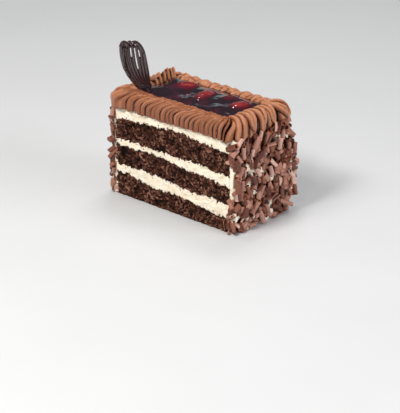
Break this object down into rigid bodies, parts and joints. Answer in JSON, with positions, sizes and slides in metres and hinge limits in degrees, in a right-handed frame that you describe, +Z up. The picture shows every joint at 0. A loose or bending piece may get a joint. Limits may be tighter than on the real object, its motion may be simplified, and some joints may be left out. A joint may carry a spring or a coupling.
{
  "type": "black forest cake slice",
  "caption": "Rectangular slice of chocolate sponge and cream layers, with a piped chocolate border round glazed cherries, a chocolate fan and ends coated in chocolate shavings.",
  "frame": {"origin": "middle of the flat base, on the surface the slice stands on", "axes": "+Z up from the base through the layers; +X along the slice, towards the end whose shavings climb against the piped border; -Y is the cut face at the side where the fan stands"},
  "size_m": [0.1249, 0.0642, 0.1135],
  "materials": {
    "sponge": "moist dark chocolate sponge, open crumb, matte",
    "cream": "whipped cream, off-white, soft satin",
    "buttercream": "milk-chocolate buttercream, fine piped ridges, soft satin",
    "shavings": "rolled chocolate shavings, dusty outside, waxy sheen",
    "glaze": "clear dark cherry gel, wet gloss",
    "cherry": "soft red cherry under clear gel, wet gloss",
    "fan_chocolate": "dark chocolate with a polished sheen"
  },
  "bodies": {
    "root": {"sponge_bottom": "sponge", "cream_lower": "cream", "sponge_middle": "sponge", "cream_middle": "cream", "sponge_top": "sponge", "cream_top": "cream", "cream_end_left": "cream", "cream_end_right": "cream", "shavings_left": "shavings", "shavings_right": "shavings", "piped_border": "buttercream", "cherry_glaze": "glaze", "cherry_1": "cherry", "cherry_2": "cherry", "cherry_3": "cherry", "cherry_4": "cherry", "cherry_5": "cherry", "chocolate_fan": "fan_chocolate"}
  },
  "joints": []
}
